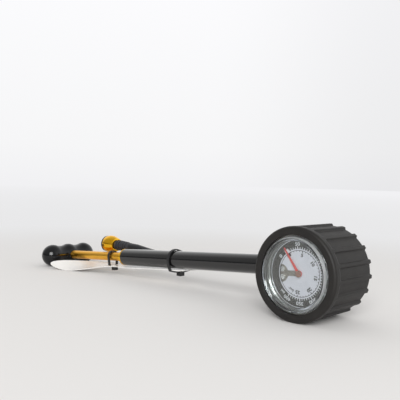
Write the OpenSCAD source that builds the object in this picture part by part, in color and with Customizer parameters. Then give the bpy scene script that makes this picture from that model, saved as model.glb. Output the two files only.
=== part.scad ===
// Shock suspension pump: dial gauge in a fluted rubber boot, hand barrel with a T-handle,
// and a stowed hose with a screw-on valve chuck. Sizes are in millimetres.
//
// Pump frame: the gauge axis is Y, the dial faces -Y and the boot's front is y = 0.
// The barrel runs along -X, and "s" is the distance along it from the gauge axis.
// The pump lies on a table on its boot and its handle, so pump() tips it by rest_tilt.

/* [Gauge] */
// Diameter of the clear lens
lens_d = 51.2; // [48:0.2:56]
// How far the lens stands in front of the boot
lens_proud = 1.4; // [0.6:0.1:2.4]
// Gap between the lens's rim and the boot round it
lens_gap = 1; // [0.6:0.1:1.4]
// Thickness of the lens window
lens_t = 2; // [1.4:0.1:2.6]
// Wall of the gauge case
case_wall = 1.8; // [1.4:0.1:2.4]
// Depth of the case from its rim to its back
case_depth = 19.7; // [19:0.1:24]
// Floor of the gauge case
case_floor = 2; // [1.5:0.1:2.8]
// Depth of the dial's face behind the boot's front
dial_depth = 8.5; // [8:0.1:9]
// Thickness of the dial plate
dial_t = 0.6; // [0.4:0.1:1]
// Length of the pointer from the centre to its tip
pointer_len = 20.5; // [16:0.5:21]
// Width of the pointer at its hub
pointer_w = 1.9; // [1.5:0.1:2.2]
// Angle of the resting pointer from +Z, clockwise on the dial
zero_angle = -33; // [-45:1:-20]

/* [Gauge movement] */
// Teeth on the pointer's pinion
pinion_teeth = 12; // [11:1:13]
// Teeth that a full sector wheel would have
sector_teeth = 96; // [90:1:98]
// Thickness of the movement plates
plate_t = 1; // [0.8:0.1:1.2]
// Clear space between the movement plates
plate_gap = 3.6; // [3.4:0.1:4]
// Space between the bent pressure tube and the case round it
tube_gap = 2.2; // [1.9:0.1:2.3]
// Thickness of the flattened pressure tube
tube_t = 1.8; // [1.4:0.1:2]
// Width of the flattened pressure tube
tube_w = 5; // [4.4:0.1:5.4]

/* [Boot] */
// Depth of the boot, front to back
boot_depth = 47; // [45:0.5:52]
// Rubber wall under the grooves
boot_wall = 2.6; // [2:0.1:3.4]
// Depth of the grooves between the ridges
groove_depth = 1.5; // [0.8:0.1:2]
// Number of ridges round the boot
ridges = 19; // [15:1:24]
// Width of a ridge
ridge_w = 3.2; // [2.2:0.1:4]
// Turn of the ridges from the barrel's line
ridge_turn = -7.5; // [-9:0.5:9]
// Smooth band behind the boot's front face
band_w = 6; // [4:0.5:9]
// Thickness of the lip round the lens
lip_t = 2.2; // [1.8:0.1:3]
// Thickness of the lip at the back
rear_lip_t = 2.2; // [1.8:0.1:3]

/* [Head] */
// Depth of the barrel's axis behind the boot's front
barrel_back = 34; // [33.5:0.1:35]
// Height of the barrel's axis over the gauge axis
barrel_rise = 2; // [0:0.1:2.4]
// Radius of the head's core
core_r = 17.5; // [16.8:0.1:19]
// Thickness of the head's two flanges
flange_t = 2.6; // [2:0.1:3]
// Wall of the socket that holds the barrel
socket_wall = 2.6; // [2:0.1:3]

/* [Barrel and plunger] */
// Outside diameter of the barrel
barrel_d = 15; // [14:0.1:16]
// Wall of the barrel
barrel_wall = 1.2; // [1:0.1:1.6]
// Distance from the gauge axis to the barrel's end
barrel_end = 208; // [190:1:230]
// Length of the gold collar beyond the barrel
collar_len = 6.3; // [5:0.1:9]
// Length of the collar's thread inside the barrel
collar_thread = 10; // [8:0.5:14]
// Diameter of the piston rod
rod_d = 8; // [7:0.1:8.6]
// How far the rod is drawn out
rod_out = 75; // [60:1:80]
// Length of the piston
piston_len = 12; // [10:0.5:16]

/* [Handle] */
// Diameter of the handle's ball ends
ball_d = 21.4; // [20:0.1:24]
// Distance between the balls' centres
ball_span = 36.5; // [34:0.5:42]
// Diameter of the two waists
waist_d = 18.3; // [16:0.1:19]

/* [Hose and chuck] */
// Outside diameter of the hose
hose_d = 7; // [6.4:0.1:7.4]
// Width of the swivel at the hose's root
swivel_w = 9; // [8.6:0.1:9.4]
// Largest diameter of the chuck's sleeve
chuck_d = 16.6; // [15.8:0.1:17.4]
// Length of the chuck's sleeve
chuck_len = 15.6; // [15.2:0.1:17]
// Diameter of the chuck's valve thread
valve_d = 7.2; // [6.9:0.1:7.7]
// Length of the strain relief behind the chuck
relief_len = 20.4; // [18:0.1:21]

/* [Card and ties] */
// Thickness of the hang card
card_t = 0.6; // [0.4:0.1:0.8]
// Width of the cable ties' band
tie_w = 2.5; // [2:0.1:3]
// Thickness of the cable ties' band
tie_t = 1.1; // [0.9:0.1:1.2]

/* [Clearances] */
// Radial clearance of a running fit
run_gap = 0.06; // [0.03:0.01:0.1]
// Radial clearance between fixed pieces
seat_gap = 0.1; // [0.06:0.01:0.12]
// Gap round soft pieces
soft_gap = 0.15; // [0.1:0.01:0.2]

/* [Hidden] */

$fn = 64;

// Boot, case and lens, from the lens outwards
lens_r = lens_d / 2;
case_in_r = lens_r + seat_gap;
case_r = case_in_r + case_wall;
boot_in_r = case_r + soft_gap;
groove_r = boot_in_r + boot_wall;
boot_r = groove_r + groove_depth;
case_front = lip_t + soft_gap / 2;
case_back = case_front + case_depth;
case_inside = case_back - case_floor;
lens_seal_d = 1.4;
lens_step = dial_depth - 0.2;
rim_r = lens_r - lens_gap / 2;
lens_bevel = 1.2;
notch_w = 6;
notch_back = 3;
dial_r = case_in_r - 2.4;
ledge_r = dial_r - 2;

// Gauge movement, from the dial backwards
plate_y = dial_depth + dial_t + 0.5;
plate2_y = plate_y + plate_t + plate_gap;
tube_r = ledge_r - tube_gap - tube_t / 2;
foot_x = 4.2 - tube_r;
foot_z = 6.2;
block_z = 5;
screw_dz = 2.7;
screw_r = 0.9;
screw_len = 6;
window_r = 6.2;
window_x = foot_x - 1;
window_limit = 2.2 - foot_x;
hub_r = 2.2;
gear_centres = tube_r - 4.7;
gear_m = 2 * gear_centres / (pinion_teeth + sector_teeth);
pinion_r = gear_m * pinion_teeth / 2;
sector_r = gear_m * sector_teeth / 2;
pivot_angle = -45;
pivot = gear_centres * [cos(pivot_angle), sin(pivot_angle)];
arbor_r = 0.6;
gear_y = plate_y + plate_t + 0.8;
gear_t = 1;
sector_turn = 30.6;
tail_len = 4.4;
tail_angle = 20;
tail_end = pivot + tail_len * [cos(tail_angle), sin(tail_angle)];
link_t = 0.6;
link_y = gear_y + gear_t + 0.2;
tip_angle = 20;
tip_r = tube_r - tube_t / 2 - 1.5;
tip_end = tip_r * [cos(tip_angle), sin(tip_angle)];
tube_start = asin((block_z - 0.6) / tube_r) - 180;
tube_y = plate_y + plate_t + tube_w / 2 + 0.25;
block_step = foot_x + 3.8;
block_end = tube_r + tube_t / 2 + 0.9;
block_y = plate2_y + plate_t + 1;
pillar_r = 1;
pillar_x = foot_x + 6.6;
pillars_at = [[pillar_x, 3.4], [pillar_x, -3.4], pivot + 3.2 * [cos(-135), sin(-135)]];
stem_r = 4.8;
stem_end = case_back + 6.5;

// Head block and what it carries
barrel_r = barrel_d / 2;
bore_r = barrel_r - barrel_wall;
socket_floor = 14.6;
gasket_t = 0.9;
barrel_start = socket_floor + gasket_t + 0.1;
socket_r = barrel_r + seat_gap + socket_wall;
head_back = boot_depth - rear_lip_t - soft_gap / 2;
boss_r = 20.4;
boss_end = boot_depth + 1.2;
manifold_r = 1.6;
chamber_r = 3.3;
chamber_start = 5.2;
seat_len = 2.2;
poppet_r = 2.5;
bleed_x = 13.2;
bleed_travel = 1.8;
bleed_stem_r = 1.5;
bleed_well_r = 3.2;
bleed_well = 5.4;
bleed_port_y = boss_end - bleed_well - 5.2;
bleed_seal_y = bleed_port_y + 1.6;

// Barrel, plunger and handle
collar_end = barrel_end + collar_len;
rod_r = rod_d / 2;
ball_r = ball_d / 2;
handle_s = collar_end + ball_r + rod_out;
handle_x = -handle_s;
piston_s = barrel_start + 1.2 + rod_out;
piston_r = bore_r - 0.15;
rod_end = handle_s + 3;
rod_stub = 8;
bolt_r = 2;

// The pump rests on its boot and the handle's balls
rest_tilt = atan2(barrel_rise, handle_s)
    + asin((boot_r - ball_r) / sqrt(handle_s * handle_s + barrel_rise * barrel_rise));
handle_reach = handle_s * cos(rest_tilt) + barrel_rise * sin(rest_tilt) + ball_r;
handle_far = barrel_back + ball_span / 2 + ball_r;
middle = [(boot_r - handle_reach) / 2, (handle_far - lens_proud) / 2];

// Hose: the route's points lie on the table frame, from the ferrule to the strain relief
swivel_y = boss_end + 0.1 + swivel_w / 2;
swivel_r = 7;
seal_in = 3;
seal_at = [swivel_y - 2.9, swivel_y + 2.9];
ferrule_start = 9;
ferrule_end = 25;
hose_r = hose_d / 2;
hose_route = [
    [-25, 52.8, 29.8], [-38, 52.8, 28.8], [-52, 52.2, 27.8], [-66, 50.6, 26.9], [-80, 48.6, 26],
    [-94, 46.9, 25.1], [-108, 46, 24.3], [-124, 45.7, 23.5], [-140, 45.7, 22.8], [-156, 45.7, 22.4],
    [-170, 45.7, 22.4], [-182, 45.6, 22.8], [-194, 45.3, 24.1], [-203, 45.1, 25.3], [-209, 45, 25.7],
    [-213.95, 45, 25.7]
];
chuck_y = 45;
chuck_z = 25.7;
relief_end = 214;
sleeve_end = relief_end + relief_len;
nose = sleeve_end + chuck_len;
ring_len = 2.5;
chuck_front = nose - ring_len;
thread_len = 7;
stem_top = chuck_front - thread_len - 2;
valve_r = valve_d / 2;
relief_r = 5;
stem_bore = 3.7;

// Card: x, near edge y and z, far edge y and z, down its length
card_stations = [
    [-130, 29.5, 15.4, 51.5, 14.6], [-143, 29.5, 14.5, 51.5, 13.6], [-160, 29, 13.2, 51.5, 12.4],
    [-180, 28, 11.3, 51.5, 11], [-200, 27, 9.7, 51, 9.6], [-215, 26, 9, 49.5, 9.4],
    [-228, 23, 7.4, 47, 9.2], [-242, 18, 4.6, 43, 8.6], [-254, 14, 2.2, 38, 8.2],
    [-264, 11, 0.8, 33, 7.8], [-272, 7, 1.4, 27, 7.8], [-279, 3.4, 3.6, 18, 8],
    [-284, 2, 6.2, 9, 7.8]
];

// Ties: the first hangs from the rod, the second is round the barrel, hose and card
tie_rod_x = -collar_end - 12.5;
tie_drop = rod_r + 2.7;
tie_head = [4.2, 3.4, 4.4];
card_slot = [tie_rod_x + 0.6, barrel_back];
card_slot_size = [3.8, 11];
card_tie = card_stations[1];
tie_barrel_x = card_tie[0];

// ---- helpers ----

// Moves the pump frame onto the table, with the origin under the middle of the pump
module on_table() { translate([-middle[0], -middle[1], 0]) children(); }
module pump() { on_table() translate([0, 0, boot_r]) rotate([0, -rest_tilt, 0]) children(); }

// Turned on the gauge axis: the profile is (radius, y)
module turned() { rotate([-90, 0, 0]) rotate_extrude($fn = 96) children(); }

// Turned on the barrel axis: the profile is (radius, s)
module along_barrel() { translate([0, barrel_back, barrel_rise]) rotate([0, -90, 0]) children(); }
module barrel_turned() { along_barrel() rotate_extrude() children(); }

// Turned on the chuck's axis, on the table: the profile is (radius, distance behind x = 0)
module chuck_turned() {
    on_table() translate([0, chuck_y, chuck_z]) rotate([0, -90, 0]) rotate_extrude() children();
}

// Flat plate in the dial's plane, from y0 backwards
module plate(y0, t) { translate([0, y0 + t, 0]) rotate([90, 0, 0]) linear_extrude(t) children(); }

// Rod along Y from y0 to y1 at [x, z]
module rod_y(p, r, y0, y1) { translate([p[0], y0, p[1]]) rotate([-90, 0, 0]) cylinder(r = r, h = y1 - y0); }

// Cylinder along the barrel from s0 to s1
module rod_s(r, s0, s1) { translate([0, 0, s0]) cylinder(r = r, h = s1 - s0); }

// Rectangle of a turned profile
module ring(r0, r1, a, b) { translate([r0, a]) square([r1 - r0, b - a]); }

// Bar with round ends between two points
module bar(a, b, w) {
    d = b - a;
    translate(a) rotate(atan2(d[1], d[0])) translate([0, -w / 2]) square([norm(d), w]);
    translate(a) circle(d = w);
    translate(b) circle(d = w);
}

// Involute gear tooth outline, centred on +X: flank points from the root to the tip
function flank(rb, r, half) =
    let (t = r > rb ? sqrt(r * r / (rb * rb) - 1) : 0, turn = half - (t * 180 / PI - atan(t)))
    [max(r, 0) * cos(turn), max(r, 0) * sin(turn)];
function tooth(z, tip, root, thin) =
    let (rp = gear_m * z / 2, rb = rp * cos(20),
         half = 90 / z + (tan(20) * 180 / PI - 20) - thin / rp * 90 / PI,
         rs = [for (i = [0 : 5]) root + (tip - root) * i / 5],
         up = [for (r = rs) flank(rb, r, half)])
    concat([for (p = up) [p[0], -p[1]]], [for (i = [5 : -1 : 0]) up[i]]);

// Helical wire along +Z, round-section, as one polyhedron
module coil(r, wire_r, len, turns) {
    n = 12;
    steps = turns * n;
    pts = [for (i = [0 : steps]) for (k = [0 : 5])
        let (a = 360 * i / n, c = 360 * k / 6)
        [(r + wire_r * cos(c)) * cos(a), (r + wire_r * cos(c)) * sin(a), len * i / steps + wire_r * sin(c)]];
    last = steps * 6;
    faces = concat(
        [[for (k = [0 : 5]) k]], [[for (k = [5 : -1 : 0]) last + k]],
        [for (i = [0 : steps - 1]) for (k = [0 : 5])
            [i * 6 + k, (i + 1) * 6 + k, (i + 1) * 6 + (k + 1) % 6, i * 6 + (k + 1) % 6]]);
    polyhedron(pts, faces);
}

// Round tube swept along a route, its rings square to the route and level
function unit(v) = v / norm(v);
module swept(route, r, sides) {
    n = len(route);
    pts = [for (i = [0 : n - 1])
        let (d = unit(route[min(i + 1, n - 1)] - route[max(i - 1, 0)]),
             side = unit(cross(d, [0, 0, 1])), up = cross(side, d))
        for (k = [0 : sides - 1]) route[i] + r * (cos(360 * k / sides) * side + sin(360 * k / sides) * up)];
    last = (n - 1) * sides;
    faces = concat(
        [[for (k = [0 : sides - 1]) k]], [[for (k = [sides - 1 : -1 : 0]) last + k]],
        [for (i = [0 : n - 2]) for (k = [0 : sides - 1])
            let (a = i * sides, b = a + sides, next = (k + 1) % sides)
            [a + k, b + k, b + next, a + next]]);
    polyhedron(pts, faces);
}

// ---- gauge ----

module rubber_boot() {
    edge = 0.9;
    opening_r = lens_r + lens_gap / 2;
    color("#4a4842") pump() difference() {
        union() {
            turned() {
                ring(0, boot_r - edge, 0, band_w);
                ring(0, boot_r, edge, band_w);
                translate([boot_r - edge, edge]) circle(edge);
            }
            plate(band_w, boot_depth - band_w) difference() {
                circle(boot_r, $fn = 190);
                for (i = [0 : ridges - 1]) rotate(ridge_turn + (i + 0.5) * 360 / ridges) groove();
            }
        }
        turned() {
            ring(0, opening_r, -1, lip_t + 1);
            ring(0, boot_in_r, lip_t, boot_depth - rear_lip_t);
            ring(0, boss_r + soft_gap, boot_depth - rear_lip_t - 1, boot_depth + 1);
        }
        along_barrel() rod_s(barrel_r + 2 * soft_gap, boot_in_r - 3, boot_r + 1);
    }
}

// One recessed panel between two ridges, in the boot's cross-section
module groove() {
    half = (boot_r * 360 / ridges * PI / 180 - ridge_w) / 2;
    intersection() {
        difference() {
            translate([boot_r / 2, -half]) square([boot_r, 2 * half]);
            circle(groove_r, $fn = 190);
        }
        translate([boot_r - 4, -half]) square([8, 2 * half]);
    }
}

module gauge_case() {
    color("#26262a") pump() difference() {
        turned() difference() {
            ring(0, case_r, case_front, case_back);
            ring(0, case_in_r, case_front - 1, lens_step);
            ring(0, dial_r + seat_gap, lens_step - 1, dial_depth + dial_t);
            ring(0, ledge_r, dial_depth, case_inside);
        }
        rod_y([0, 0], stem_r + seat_gap, case_inside - 1, case_back + 1);
    }
}

module gauge_lens() {
    skirt_r = dial_r - 0.9;
    flange_back = lens_step - lens_seal_d - 0.1;
    color([0.85, 0.9, 0.92, 0.35]) pump() difference() {
        turned() polygon([
            [0, -lens_proud], [rim_r - lens_bevel, -lens_proud], [rim_r, 1.9 * lens_bevel - lens_proud],
            [rim_r, case_front + 0.2], [lens_r, case_front + 0.2], [lens_r, flange_back],
            [skirt_r + 0.8, flange_back], [skirt_r + 0.8, dial_depth - 0.1],
            [skirt_r, dial_depth - 0.1], [skirt_r, lens_t - lens_proud], [0, lens_t - lens_proud]
        ]);
        translate([-notch_w / 2, -lens_proud - 1, -lens_r - 1])
            cube([notch_w, notch_back + lens_proud + 1, lens_r + 0.5 - skirt_r]);
    }
}

module lens_seal() {
    seal_r = lens_seal_d / 2;
    color("#151515") pump() turned() translate([case_in_r - seal_r - seat_gap, lens_step - seal_r - 0.05])
        circle(seal_r, $fn = 24);
}

module dial_plate() {
    color("white") pump() plate(dial_depth, dial_t) difference() {
        circle(dial_r);
        circle(1.9);
        intersection() {
            translate([window_x, 0]) circle(window_r);
            circle(window_limit);
        }
        translate([foot_x, -1.9]) square([-foot_x, 3.8]);
    }
}

module movement_screws() {
    head_h = 0.9;
    color("silver") pump() for (z = [-screw_dz, screw_dz]) difference() {
        union() {
            rod_y([foot_x, z], 1.75, plate_y - head_h, plate_y);
            rod_y([foot_x, z], screw_r, plate_y, plate_y + screw_len);
        }
        translate([foot_x, plate_y - head_h, z]) {
            cube([2.2, 1, 0.5], center = true);
            cube([0.5, 1, 2.2], center = true);
        }
    }
}

// Outline that both movement plates share
module movement_outline() {
    bar([pillar_x, 0], [0, 0], 2 * block_z);
    bar([0, 0], pivot, 6.6);
    translate(pillars_at[2]) circle(2);
}

module movement_front_plate() {
    color("#c8b070") pump() plate(plate_y, plate_t) difference() {
        union() {
            movement_outline();
            translate([-block_end, -foot_z]) square([block_end + pillar_x, 2 * foot_z]);
        }
        circle(arbor_r + run_gap);
        translate(pivot) circle(arbor_r + run_gap);
        for (z = [-screw_dz, screw_dz]) translate([foot_x, z]) circle(screw_r + seat_gap);
    }
}

module movement_back_plate() {
    color("#c8b070") pump() plate(plate2_y, plate_t) difference() {
        intersection() {
            movement_outline();
            translate([pillar_x - 2.2, -case_r]) square(2 * case_r);
        }
        circle(arbor_r + run_gap);
        translate(pivot) circle(arbor_r + run_gap);
    }
}

module movement_pillars() {
    color("#c8b070") pump() for (p = pillars_at) rod_y(p, pillar_r, plate_y + plate_t, plate2_y);
}

module sector_gear() {
    step = 360 / sector_teeth;
    root = sector_r - 1.3 * gear_m;
    tip = sector_r + 0.7 * gear_m;
    rim = root - 1.8;
    to_arbor = pivot_angle + 180;
    teeth = floor(sector_turn / step) + 3;
    first = 1.5 - teeth;
    toothed = [for (i = [0 : teeth]) for (p = tooth(sector_teeth, tip, root, 0.05))
        let (a = (first + i) * step) [p[0] * cos(a) + p[1] * sin(-a), p[0] * sin(a) + p[1] * cos(a)]];
    inner = [for (i = [12 : -1 : 0]) let (a = (first + teeth * i / 12) * step) rim * [cos(a), sin(a)]];
    color("#d0a850") pump() plate(gear_y, gear_t) translate(pivot) difference() {
        union() {
            rotate(to_arbor) polygon(concat(toothed, inner));
            rotate(to_arbor + (first + teeth / 2) * step) translate([0, -1]) square([rim + 0.8, 2]);
            circle(1.7);
            rotate(tail_angle) bar([0, 0], [tail_len, 0], 2);
        }
        circle(arbor_r + 0.02);
        rotate(tail_angle) translate([tail_len, 0]) circle(0.5 + run_gap);
    }
}

module sector_arbor() {
    color("#e0c070") pump() rod_y(pivot, arbor_r, plate_y, plate2_y + plate_t);
}

module tip_link() {
    color("#e0c070") pump() {
        plate(link_y, link_t) bar(tail_end, tip_end, 1.8);
        rod_y(tail_end, 0.5, gear_y, link_y);
    }
}

module pointer_arbor() {
    step = 360 / pinion_teeth;
    root = pinion_r - 1.1 * gear_m;
    color("#e0c070") pump() {
        rod_y([0, 0], arbor_r, dial_depth - 1.3, plate2_y + plate_t);
        plate(gear_y - 0.2, gear_t + 0.4) rotate(pivot_angle) polygon([
            for (i = [0 : pinion_teeth - 1]) for (p = tooth(pinion_teeth, pinion_r + gear_m, root, 0.05))
                let (a = i * step) [p[0] * cos(a) - p[1] * sin(a), p[0] * sin(a) + p[1] * cos(a)]
        ]);
    }
}

module pointer() {
    y0 = dial_depth - 1.2;
    half = pointer_w / 2;
    neck = pointer_len - 1;
    color("#d8382c") pump() difference() {
        union() {
            plate(y0, 0.5) rotate(90 - zero_angle)
                polygon([[0, -half], [neck, -0.42], [pointer_len, 0], [neck, 0.42], [0, half]]);
            rod_y([0, 0], hub_r, y0 - 0.3, y0 + 0.9);
        }
        rod_y([0, 0], arbor_r + 0.02, y0 - 1, y0 + 2);
    }
}

// Cross-section of the flattened tube, at its bending radius
module tube_section(grow) {
    w = tube_w + 2 * grow;
    t = tube_t + 2 * grow;
    translate([tube_r - t / 2, -(w - t) / 2]) square([t, w - t]);
    for (s = [-1, 1]) translate([tube_r, s * (w - t) / 2]) circle(d = t, $fn = 24);
}

// Sweep of the tube's section about the gauge axis, from tube_start to the given angle
module tube_sweep(grow, from, to) {
    translate([0, tube_y, 0]) rotate([90, 0, 0]) rotate([0, 0, from])
        rotate_extrude(angle = to - from) tube_section(grow);
}

module bourdon_tube() {
    cap = 4;
    tab_r = tube_r - tube_t / 2 + 0.3;
    color("#d8b868") pump() {
        difference() {
            tube_sweep(0, tube_start, tip_angle - 2);
            tube_sweep(-0.35, tube_start - 1, tip_angle - 2 - cap);
        }
        plate(link_y + link_t + 0.15, 0.7)
            bar(tab_r * [cos(tip_angle - 4), sin(tip_angle - 4)], tip_end, 1.6);
    }
}

module gauge_socket() {
    passage_y = block_y + 1.8;
    post_y = plate_y + plate_t;
    color("#c09a48") pump() difference() {
        union() {
            translate([-block_end, post_y, -block_z])
                cube([block_end + block_step, case_inside - post_y, 2 * block_z]);
            translate([-block_end, block_y, -block_z])
                cube([block_end + 4, case_inside - block_y, 2 * block_z]);
            rod_y([0, 0], stem_r, case_inside, stem_end);
        }
        for (z = [-screw_dz, screw_dz])
            rod_y([foot_x, z], screw_r + seat_gap, plate_y, plate_y + screw_len + 0.2);
        rod_y([0, 0], 1, passage_y, stem_end + 1);
        translate([0, passage_y + 0.8, 0]) rotate([0, -90, 0]) cylinder(r = 0.8, h = -foot_x + 3);
        rod_y([foot_x - 2.6, 0], 0.8, tube_y, passage_y + 0.8);
        tube_sweep(0.1, tube_start - 1, tube_start + 12);
        translate([foot_x - 2.6, tube_y, -block_z + 1]) cylinder(r = 0.7, h = block_z);
    }
}

module socket_seal() {
    color("#151515") pump() turned()
        ring(stem_r - 1.15, stem_r + seat_gap - 0.03, stem_end + 0.1, stem_end + 1.1);
}

// ---- head ----

module head_block() {
    color("#303236") pump() difference() {
        union() {
            turned() {
                ring(0, case_r, case_back, case_back + flange_t);
                ring(0, core_r, case_back, head_back);
                ring(0, case_r, head_back - flange_t, head_back);
                ring(0, boss_r, head_back - 1, boss_end);
            }
            intersection() {
                along_barrel() rod_s(socket_r, 0, boot_in_r);
                turned() ring(0, boot_in_r - 0.4, case_back, head_back);
            }
        }
        rod_y([0, 0], stem_r + seat_gap, case_back - 1, stem_end + 1.2);
        rod_y([0, 0], manifold_r, stem_end, boss_end - 6);
        rod_y([0, 0], 3 + seat_gap, boss_end - 7.2, boss_end + 1);
        along_barrel() {
            rod_s(barrel_r + seat_gap, socket_floor, boot_in_r + 2);
            rod_s(chamber_r, chamber_start, socket_floor + 1);
            rod_s(1.25, 0, chamber_start + 1);
        }
        rod_y([bleed_x, 0], bleed_stem_r + run_gap, bleed_port_y - bleed_travel, boss_end + 1);
        rod_y([bleed_x, 0], bleed_well_r, boss_end - bleed_well, boss_end + 1);
        rod_y([bleed_x, 0], 2.2, bleed_seal_y, bleed_seal_y + 1.2);
        translate([0, bleed_port_y, 0]) rotate([0, 90, 0]) cylinder(r = 0.9, h = bleed_x);
    }
}

module check_seat() {
    color("#c8b070") pump() barrel_turned()
        ring(1.4, chamber_r - seat_gap / 2, socket_floor - seat_len, socket_floor);
}

module check_poppet() {
    face = socket_floor - seat_len - 0.1;
    color("#d0d0c8") pump() barrel_turned() {
        ring(0, poppet_r, face - 1.2, face);
        ring(0, 0.9, face - 4.6, face - 1);
    }
}

module check_spring() {
    wire_r = 0.22;
    face = socket_floor - seat_len - 1.3;
    color("silver") pump() along_barrel() translate([0, 0, chamber_start + wire_r + 0.05])
        coil(1.7, wire_r, face - chamber_start - 2 * wire_r - 0.15, 4);
}

module bleed_button() {
    cap_y = boss_end + bleed_travel + 0.3;
    color("#c99a2e") pump() {
        rod_y([bleed_x, 0], bleed_stem_r, bleed_port_y + 0.4, cap_y + 0.5);
        translate([bleed_x, 0, 0]) turned() {
            ring(0, 3.9, cap_y, cap_y + 1.8);
            ring(0, 3.3, cap_y, cap_y + 2.4);
            translate([3.3, cap_y + 1.8]) circle(0.6, $fn = 24);
        }
    }
}

module bleed_spring() {
    wire_r = 0.28;
    start = boss_end - bleed_well + wire_r + 0.05;
    color("silver") pump() translate([bleed_x, start, 0]) rotate([-90, 0, 0])
        coil(2.2, wire_r, bleed_well + bleed_travel + 0.3 - 2 * wire_r - 0.15, 5);
}

module bleed_seal() {
    color("#151515") pump() translate([bleed_x, 0, 0]) turned()
        ring(bleed_stem_r + 0.04, 2.17, bleed_seal_y + 0.05, bleed_seal_y + 1.15);
}

module barrel_gasket() {
    color("#151515") pump() barrel_turned()
        ring(bore_r, barrel_r, socket_floor + 0.05, socket_floor + 0.05 + gasket_t);
}

// ---- barrel and plunger ----

module barrel() {
    color("#1c1d20") pump() barrel_turned() ring(bore_r, barrel_r, barrel_start, barrel_end);
}

module barrel_collar() {
    neck_r = rod_r + 0.9;
    shoulder = barrel_end + 1.2;
    flare = [for (a = [0 : 10 : 90])
        [barrel_r - (barrel_r - neck_r) * sin(a), shoulder + (collar_end - shoulder) * (1 - cos(a))]];
    thread_r = bore_r - seat_gap;
    color("#d9a02c") pump() barrel_turned() difference() {
        polygon(concat([[rod_r + run_gap, barrel_end - collar_thread], [thread_r, barrel_end - collar_thread],
            [thread_r, barrel_end], [barrel_r, barrel_end]], flare, [[rod_r + run_gap, collar_end]]));
        ring(0, rod_r + 1.3, barrel_end - 3.2, barrel_end - 1);
    }
}

module rod_wiper() {
    color("#151515") pump() barrel_turned()
        ring(rod_r + run_gap, rod_r + 1.25, barrel_end - 3.15, barrel_end - 1.05);
}

module piston_rod() {
    back = piston_s + piston_len;
    color("#d9a02c") pump() barrel_turned() difference() {
        union() {
            ring(0, rod_r, back, rod_end);
            ring(0, 2.5, back - rod_stub, back + 1);
        }
        ring(0, bolt_r + 0.05, rod_end - 12, rod_end + 1);
    }
}

module piston_head() {
    color("#303030") pump() barrel_turned() difference() {
        ring(0, piston_r, piston_s, piston_s + piston_len);
        ring(piston_r - 1.2, piston_r + 1, piston_s + 3, piston_s + 5.6);
        ring(0, 2.55, piston_s + piston_len - rod_stub - 0.1, piston_s + piston_len + 1);
    }
}

module piston_seal() {
    color("#151515") pump() barrel_turned()
        ring(piston_r - 1.15, bore_r - 0.04, piston_s + 3.05, piston_s + 5.55);
}

// Half of the handle's section: three balls with hollow waists that run into them smoothly
module handle_section() {
    half = ball_span / 2;
    waist_r = waist_d / 2;
    hollow_r = (half * half / 4 + waist_r * waist_r - ball_r * ball_r) / (2 * (ball_r - waist_r));
    meet = ball_r / (ball_r + hollow_r) * [waist_r + hollow_r, half / 2];
    intersection() {
        translate([0, -half - ball_r]) square([ball_r + 1, ball_span + 2 * ball_r]);
        union() {
            for (y = [-half, 0, half]) translate([0, y]) circle(ball_r);
            for (side = [-1, 1]) difference() {
                translate([0, side * half / 2 - half / 2 + meet[1]]) square([meet[0], half - 2 * meet[1]]);
                translate([waist_r + hollow_r, side * half / 2]) circle(hollow_r);
            }
        }
    }
}

module handle() {
    color("#101013") pump() translate([handle_x, barrel_back, barrel_rise]) difference() {
        rotate([-90, 0, 0]) rotate_extrude($fn = 72) handle_section();
        rotate([0, -90, 0]) {
            rod_s(rod_r + 0.05, -ball_r - 1, 3 + 0.05);
            rod_s(bolt_r + 0.2, 2, ball_r);
            rod_s(3.8, ball_r - 3.4, ball_r + 1);
        }
    }
}

module handle_bolt() {
    seat = handle_s + ball_r - 3.4;
    color("#303034") pump() barrel_turned() difference() {
        union() {
            ring(0, 3.6, seat, seat + 2.4);
            ring(0, bolt_r, rod_end - 9, seat + 1);
        }
        ring(0, 1.3, seat + 1, seat + 3);
    }
}

// ---- hose and chuck ----

module hose_swivel() {
    y0 = boss_end + 0.1;
    color("#26262a") pump() difference() {
        union() {
            turned() {
                ring(0, swivel_r, y0 + 0.8, y0 + swivel_w - 0.8);
                ring(0, swivel_r - 0.8, y0, y0 + swivel_w);
            }
            translate([0, swivel_y, 0]) rotate([0, -90, 0]) cylinder(r = 3.9, h = ferrule_start);
        }
        rod_y([0, 0], 4 + run_gap, y0 - 1, y0 + swivel_w + 1);
        translate([0, swivel_y, 0]) rotate([0, -90, 0]) cylinder(r = 1.2, h = ferrule_start + 1);
    }
}

module swivel_bolt() {
    y0 = boss_end + 0.1;
    color("#303236") pump() difference() {
        union() {
            rod_y([0, 0], 3, boss_end - 6.8, y0);
            rod_y([0, 0], 4, boss_end, y0 + swivel_w + 0.2);
            rod_y([0, 0], 5.6, y0 + swivel_w + 0.1, y0 + swivel_w + 2.9);
        }
        turned() for (y = seal_at) ring(seal_in, 4.5, y - 0.7, y + 0.7);
        rod_y([0, 0], 1.25, boss_end - 8, swivel_y);
        translate([-6, swivel_y, 0]) rotate([0, 90, 0]) cylinder(r = 0.9, h = 6);
        rod_y([0, 0], 2.3, y0 + swivel_w + 1.2, y0 + swivel_w + 4);
    }
}

module swivel_seals() {
    color("#151515") pump() turned()
        for (y = seal_at) ring(seal_in + 0.05, 4 + run_gap - 0.02, y - 0.62, y + 0.62);
}

module hose_ferrule() {
    color("#26262a") pump() translate([0, swivel_y, 0]) rotate([0, -90, 0]) rotate_extrude() difference() {
        union() {
            ring(0, 4.3, ferrule_start, ferrule_end - 1);
            ring(0, hose_r + 0.2, ferrule_start, ferrule_end);
        }
        for (s = [4, 8, 12]) translate([4.6, ferrule_start + s]) circle(0.6, $fn = 24);
    }
}

module hose() {
    color("#17171a") on_table() swept(hose_route, hose_r, 10);
}

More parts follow.
